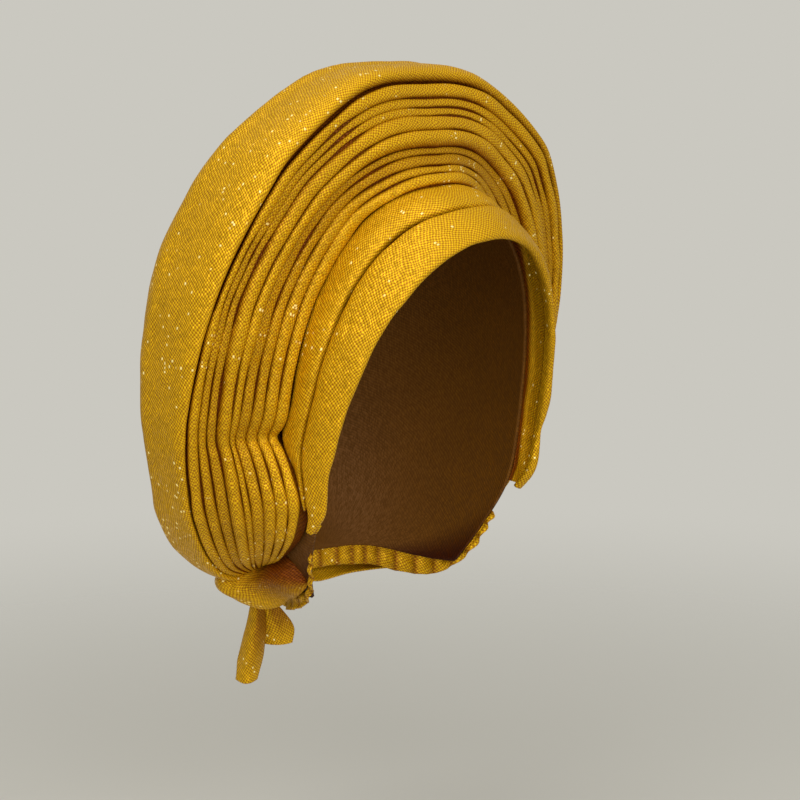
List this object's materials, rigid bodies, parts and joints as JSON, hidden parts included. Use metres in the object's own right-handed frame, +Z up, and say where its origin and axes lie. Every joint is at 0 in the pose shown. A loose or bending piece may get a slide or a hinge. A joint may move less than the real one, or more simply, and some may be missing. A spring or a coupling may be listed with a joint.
{
  "type": "tied gele head tie",
  "caption": "Gele head tie in gold woven cloth: folded forehead bands, a tall fan of pleats, a broad rounded back, gathered nape, knot and loose ends.",
  "frame": {"origin": "inside crown of the cap, where the top of the head touches it", "axes": "+Z up, the wearer faces -Y, the wearer's right is -X"},
  "size_m": [0.2826, 0.1835, 0.3472],
  "materials": {
    "gele_cloth": "stiff brocade woven with a gold metallic thread, softly glittering",
    "cap_cloth": "the same brocade seen from inside, duller"
  },
  "bodies": {
    "root": {"cap": "cap_cloth", "lower_band": "gele_cloth", "upper_band": "gele_cloth", "pleat_fan": "gele_cloth", "outer_panel": "gele_cloth", "right_wrap": "gele_cloth", "left_wrap": "gele_cloth", "nape_gather": "gele_cloth", "nape_knot": "gele_cloth", "long_tail": "gele_cloth", "short_tail": "gele_cloth"}
  },
  "joints": []
}
